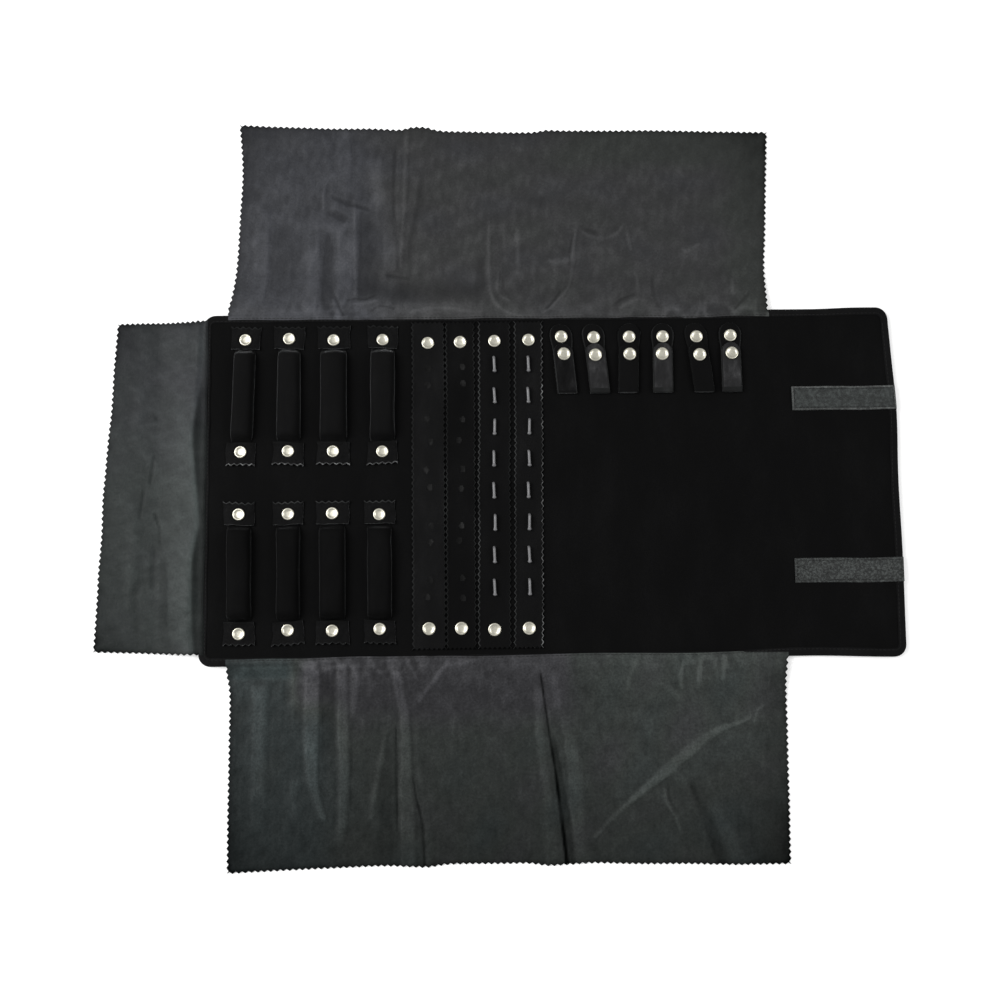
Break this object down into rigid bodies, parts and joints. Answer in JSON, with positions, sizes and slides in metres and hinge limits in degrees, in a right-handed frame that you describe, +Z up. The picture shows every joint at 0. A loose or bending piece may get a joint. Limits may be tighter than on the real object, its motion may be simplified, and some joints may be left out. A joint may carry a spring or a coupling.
{
  "type": "jewelry roll",
  "caption": "Padded velvet jewelry roll lying open, with snap-ended ring bars, earring and hook strips, snap loops, thin folding flaps and a closing end with tapes.",
  "frame": {"origin": "middle of the underside of the padded panel, where it rests on the table", "axes": "+X along the roll towards the closing end, +Y across it towards the upper flap, +Z up out of the velvet lining"},
  "size_m": [0.6537, 0.6126, 0.0163],
  "materials": {
    "velvet": "matte",
    "bar_velvet": "matte",
    "strip_velvet": "matte",
    "loop_velvet": "matte",
    "binding": "satin",
    "cover_cloth": "matte",
    "flap_cloth": "matte",
    "padding_foam": "matte",
    "hook_tape": "matte",
    "loop_tape": "matte",
    "snap_metal": "polished",
    "hook_grey": "satin"
  },
  "bodies": {
    "root": {"outer_cover": "cover_cloth", "padding": "padding_foam", "velvet_lining": "velvet", "edge_binding": "binding", "outer_tape_upper": "loop_tape", "outer_tape_lower": "hook_tape", "top_flap_hem": "flap_cloth", "bottom_flap_hem": "flap_cloth", "left_flap_hem": "flap_cloth", "ring_bar_end_1": "bar_velvet", "ring_bar_end_2": "bar_velvet", "ring_bar_end_3": "bar_velvet", "ring_bar_end_4": "bar_velvet", "ring_bar_end_5": "bar_velvet", "ring_bar_end_6": "bar_velvet", "ring_bar_end_7": "bar_velvet", "ring_bar_end_8": "bar_velvet", "earring_strip_1_end": "strip_velvet", "earring_strip_2_end": "strip_velvet", "hook_strip_1_end": "strip_velvet", "hook_strip_2_end": "strip_velvet", "snap_loop_base_1": "loop_velvet", "snap_loop_base_2": "loop_velvet", "snap_loop_base_3": "loop_velvet", "snap_loop_base_4": "loop_velvet", "snap_loop_base_5": "loop_velvet", "snap_loop_base_6": "loop_velvet"},
    "left_flap": {"left_flap": "flap_cloth"},
    "bottom_flap": {"bottom_flap": "flap_cloth"},
    "top_flap": {"top_flap": "flap_cloth"},
    "closing_end": {"closing_end_cover": "cover_cloth", "closing_end_padding": "padding_foam", "closing_end_lining": "velvet", "closing_end_binding": "binding", "closing_tape_upper": "hook_tape", "closing_tape_lower": "loop_tape"},
    "ring_bar_1": {"ring_bar_1": "bar_velvet"},
    "ring_bar_2": {"ring_bar_2": "bar_velvet"},
    "ring_bar_3": {"ring_bar_3": "bar_velvet"},
    "ring_bar_4": {"ring_bar_4": "bar_velvet"},
    "ring_bar_5": {"ring_bar_5": "bar_velvet"},
    "ring_bar_6": {"ring_bar_6": "bar_velvet"},
    "ring_bar_7": {"ring_bar_7": "bar_velvet"},
    "ring_bar_8": {"ring_bar_8": "bar_velvet"},
    "earring_strip_1": {"earring_strip_1": "strip_velvet"},
    "earring_strip_2": {"earring_strip_2": "strip_velvet"},
    "hook_strip_1": {"hook_strip_1": "strip_velvet"},
    "hook_strip_2": {"hook_strip_2": "strip_velvet"},
    "snap_loop_1": {"snap_loop_strap_1": "loop_velvet"},
    "snap_loop_2": {"snap_loop_strap_2": "loop_velvet"},
    "snap_loop_3": {"snap_loop_strap_3": "loop_velvet"},
    "snap_loop_4": {"snap_loop_strap_4": "loop_velvet"},
    "snap_loop_5": {"snap_loop_strap_5": "loop_velvet"},
    "snap_loop_6": {"snap_loop_strap_6": "loop_velvet"}
  },
  "joints": [
    {"name": "left_flap_fold", "type": "hinge", "parent": "root", "child": "left_flap", "pos_m": [-0.28505, 0, 0.0098], "axis": [0, 1, 0], "range_deg": [0, 180]},
    {"name": "bottom_flap_fold", "type": "hinge", "parent": "root", "child": "bottom_flap", "pos_m": [0, -0.144, 0.0112], "axis": [-1, 0, 0], "range_deg": [0, 180]},
    {"name": "top_flap_fold", "type": "hinge", "parent": "root", "child": "top_flap", "pos_m": [0, 0.144, 0.013], "axis": [1, 0, 0], "range_deg": [0, 180]},
    {"name": "closing_end_fold", "type": "hinge", "parent": "root", "child": "closing_end", "pos_m": [0.19355, 0, 0.0168], "axis": [0, -1, 0], "range_deg": [0, 180]},
    {"name": "ring_bar_1_lift", "type": "hinge", "parent": "root", "child": "ring_bar_1", "pos_m": [-0.25215, 0.1157, 0.0069], "axis": [1, 0, 0], "range_deg": [-100, 0]},
    {"name": "ring_bar_2_lift", "type": "hinge", "parent": "root", "child": "ring_bar_2", "pos_m": [-0.21381, 0.1157, 0.0069], "axis": [1, 0, 0], "range_deg": [-100, 0]},
    {"name": "ring_bar_3_lift", "type": "hinge", "parent": "root", "child": "ring_bar_3", "pos_m": [-0.17785, 0.1157, 0.0069], "axis": [1, 0, 0], "range_deg": [-100, 0]},
    {"name": "ring_bar_4_lift", "type": "hinge", "parent": "root", "child": "ring_bar_4", "pos_m": [-0.13875, 0.1157, 0.0069], "axis": [1, 0, 0], "range_deg": [-100, 0]},
    {"name": "ring_bar_5_lift", "type": "hinge", "parent": "root", "child": "ring_bar_5", "pos_m": [-0.25215, -0.11, 0.0069], "axis": [-1, 0, 0], "range_deg": [-100, 0]},
    {"name": "ring_bar_6_lift", "type": "hinge", "parent": "root", "child": "ring_bar_6", "pos_m": [-0.21381, -0.11, 0.0069], "axis": [-1, 0, 0], "range_deg": [-100, 0]},
    {"name": "ring_bar_7_lift", "type": "hinge", "parent": "root", "child": "ring_bar_7", "pos_m": [-0.17785, -0.11, 0.0069], "axis": [-1, 0, 0], "range_deg": [-100, 0]},
    {"name": "ring_bar_8_lift", "type": "hinge", "parent": "root", "child": "ring_bar_8", "pos_m": [-0.13875, -0.11, 0.0069], "axis": [-1, 0, 0], "range_deg": [-100, 0]},
    {"name": "earring_strip_1_lift", "type": "hinge", "parent": "root", "child": "earring_strip_1", "pos_m": [-0.10105, 0.1114, 0.0067], "axis": [1, 0, 0], "range_deg": [-110, 0]},
    {"name": "earring_strip_2_lift", "type": "hinge", "parent": "root", "child": "earring_strip_2", "pos_m": [-0.07294, 0.1114, 0.0067], "axis": [1, 0, 0], "range_deg": [-110, 0]},
    {"name": "hook_strip_1_lift", "type": "hinge", "parent": "root", "child": "hook_strip_1", "pos_m": [-0.04619, 0.1114, 0.0067], "axis": [1, 0, 0], "range_deg": [-110, 0]},
    {"name": "hook_strip_2_lift", "type": "hinge", "parent": "root", "child": "hook_strip_2", "pos_m": [-0.01795, 0.1114, 0.0067], "axis": [1, 0, 0], "range_deg": [-110, 0]},
    {"name": "snap_loop_1_open", "type": "hinge", "parent": "root", "child": "snap_loop_1", "pos_m": [0.0145, 0.0745, 0.00705], "axis": [-1, 0, 0], "range_deg": [-150, 0]},
    {"name": "snap_loop_2_open", "type": "hinge", "parent": "root", "child": "snap_loop_2", "pos_m": [0.04163, 0.0745, 0.00705], "axis": [-1, 0, 0], "range_deg": [-150, 0]},
    {"name": "snap_loop_3_open", "type": "hinge", "parent": "root", "child": "snap_loop_3", "pos_m": [0.06487, 0.0745, 0.00705], "axis": [-1, 0, 0], "range_deg": [-150, 0]},
    {"name": "snap_loop_4_open", "type": "hinge", "parent": "root", "child": "snap_loop_4", "pos_m": [0.0937, 0.0745, 0.00705], "axis": [-1, 0, 0], "range_deg": [-150, 0]},
    {"name": "snap_loop_5_open", "type": "hinge", "parent": "root", "child": "snap_loop_5", "pos_m": [0.12803, 0.0745, 0.00705], "axis": [-1, 0, 0], "range_deg": [-150, 0]},
    {"name": "snap_loop_6_open", "type": "hinge", "parent": "root", "child": "snap_loop_6", "pos_m": [0.15095, 0.0745, 0.00705], "axis": [-1, 0, 0], "range_deg": [-150, 0]}
  ]
}
